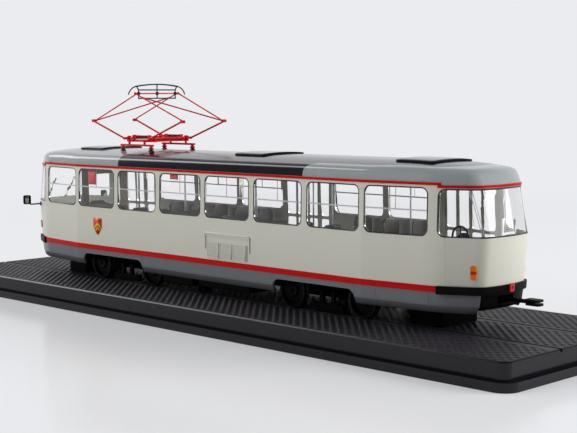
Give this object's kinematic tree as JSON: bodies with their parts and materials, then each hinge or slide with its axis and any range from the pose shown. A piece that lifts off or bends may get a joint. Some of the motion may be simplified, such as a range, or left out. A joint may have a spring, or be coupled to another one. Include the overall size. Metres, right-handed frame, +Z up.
{
  "type": "scale model tram on plinth",
  "caption": "Display model of a streamlined bogie tram with a folding roof collector, turning wheelsets and swinging couplers, screwed to a black plinth with moulded paving.",
  "frame": {"origin": "under the middle of the plinth, on the surface it stands on", "axes": "+X towards the tram's front end, +Y to the tram's left, +Z up"},
  "size_m": [0.403, 0.113, 0.1175],
  "materials": {
    "plinth_black": "moulded black plastic",
    "underframe_black": "moulded black plastic",
    "body_cream": "satin enamel",
    "stripe_red": "satin enamel",
    "roof_grey": "satin enamel, black over the middle",
    "roof_black": "satin enamel",
    "skirt_grey": "satin enamel",
    "window_glass": "clear moulded glazing",
    "bar_silver": "silver paint",
    "door_cream": "satin enamel",
    "seat_brown": "moulded plastic",
    "floor_grey": "moulded plastic",
    "wheel_steel": "turned metal",
    "panto_red": "satin enamel",
    "panto_dark": "moulded plastic",
    "lamp_amber": "tinted lens",
    "lamp_clear": "clear lens",
    "screw_steel": "plated steel"
  },
  "bodies": {
    "tram": {"plinth": "plinth_black", "pedestals": "underframe_black", "underframe": "underframe_black", "equipment_boxes": "underframe_black", "bogie_front": "underframe_black", "bogie_rear": "underframe_black", "drawgear_front": "underframe_black", "drawgear_rear": "underframe_black", "bumper_front": "underframe_black", "bumper_rear": "underframe_black", "wipers": "underframe_black", "hand_wheel": "underframe_black", "mirror_left": "underframe_black", "mirror_right": "underframe_black", "plinth_screws": "screw_steel", "skirt_left": "skirt_grey", "skirt_right": "skirt_grey", "wall_left": "body_cream", "wall_right": "body_cream", "end_mask_front": "body_cream", "end_mask_rear": "body_cream", "louvre_panel": "body_cream", "door_front": "door_cream", "door_middle": "door_cream", "door_rear": "door_cream", "belt_rail": "stripe_red", "gutter_rail": "stripe_red", "jumper_sockets": "stripe_red", "roof": "roof_grey", "destination_box": "roof_grey", "roof_hatches": "roof_black", "windscreen_front": "window_glass", "windscreen_rear": "window_glass", "glazing_left": "window_glass", "glazing_right": "window_glass", "window_bars": "bar_silver", "grab_poles": "bar_silver", "rear_rail": "bar_silver", "saloon_floor": "floor_grey", "seats": "seat_brown", "cab_partition": "seat_brown", "driver_desk": "seat_brown", "pantograph_base": "panto_red", "pantograph_insulators": "panto_dark", "pantograph_springs": "panto_dark", "tail_lamps": "lamp_amber", "turn_lamps": "lamp_amber", "headlamps": "lamp_clear"},
    "wheelset_1": {"wheelset_1": "wheel_steel"},
    "wheelset_2": {"wheelset_2": "wheel_steel"},
    "wheelset_3": {"wheelset_3": "wheel_steel"},
    "wheelset_4": {"wheelset_4": "wheel_steel"},
    "coupler_front": {"coupler_front": "underframe_black"},
    "coupler_rear": {"coupler_rear": "underframe_black"},
    "lower_frame_front": {"lower_frame_front": "panto_red"},
    "lower_frame_rear": {"lower_frame_rear": "panto_red"},
    "upper_frame_front": {"upper_frame_front": "panto_red"},
    "upper_frame_rear": {"upper_frame_rear": "panto_red"},
    "collector_head": {"collector_head": "panto_dark"}
  },
  "joints": [
    {"name": "wheelset_1_spin", "type": "hinge", "parent": "tram", "child": "wheelset_1", "pos_m": [0.0965, 0, 0.01964], "axis": [0, 1, 0], "continuous": true},
    {"name": "wheelset_2_spin", "type": "hinge", "parent": "tram", "child": "wheelset_2", "pos_m": [0.0523, 0, 0.01964], "axis": [0, 1, 0], "continuous": true},
    {"name": "wheelset_3_spin", "type": "hinge", "parent": "tram", "child": "wheelset_3", "pos_m": [-0.0523, 0, 0.01964], "axis": [0, 1, 0], "continuous": true},
    {"name": "wheelset_4_spin", "type": "hinge", "parent": "tram", "child": "wheelset_4", "pos_m": [-0.0965, 0, 0.01964], "axis": [0, 1, 0], "continuous": true},
    {"name": "coupler_front_swing", "type": "hinge", "parent": "tram", "child": "coupler_front", "pos_m": [0.148, 0, 0.0249], "axis": [0, 0, 1], "range_deg": [-15, 15]},
    {"name": "coupler_rear_swing", "type": "hinge", "parent": "tram", "child": "coupler_rear", "pos_m": [-0.148, 0, 0.0249], "axis": [0, 0, 1], "range_deg": [-15, 15]},
    {"name": "pantograph_fold", "type": "hinge", "parent": "tram", "child": "lower_frame_front", "pos_m": [0.0803, 0, 0.0883], "axis": [0, -1, 0], "range_deg": [-15.5, 15.5]},
    {"name": "lower_rear_turn", "type": "hinge", "parent": "tram", "child": "lower_frame_rear", "pos_m": [0.0587, 0, 0.0883], "axis": [0, 1, 0], "range_deg": [-15.71, 15.71]},
    {"name": "upper_front_turn", "type": "hinge", "parent": "lower_frame_front", "child": "upper_frame_front", "pos_m": [0.1075, 0, 0.0976], "axis": [0, 1, 0], "range_deg": [-25, 25]},
    {"name": "upper_rear_turn", "type": "hinge", "parent": "lower_frame_rear", "child": "upper_frame_rear", "pos_m": [0.0315, 0, 0.0976], "axis": [0, -1, 0], "range_deg": [-25, 25]},
    {"name": "head_level", "type": "hinge", "parent": "upper_frame_front", "child": "collector_head", "pos_m": [0.0695, 0, 0.1123], "axis": [0, -1, 0], "range_deg": [-9.5, 9.5]}
  ],
  "couplings": [
    {"joint": "lower_rear_turn", "follows": "pantograph_fold", "ratio": 1},
    {"joint": "upper_front_turn", "follows": "pantograph_fold", "ratio": 1.6},
    {"joint": "upper_rear_turn", "follows": "pantograph_fold", "ratio": 1.6},
    {"joint": "head_level", "follows": "pantograph_fold", "ratio": 0.6}
  ]
}
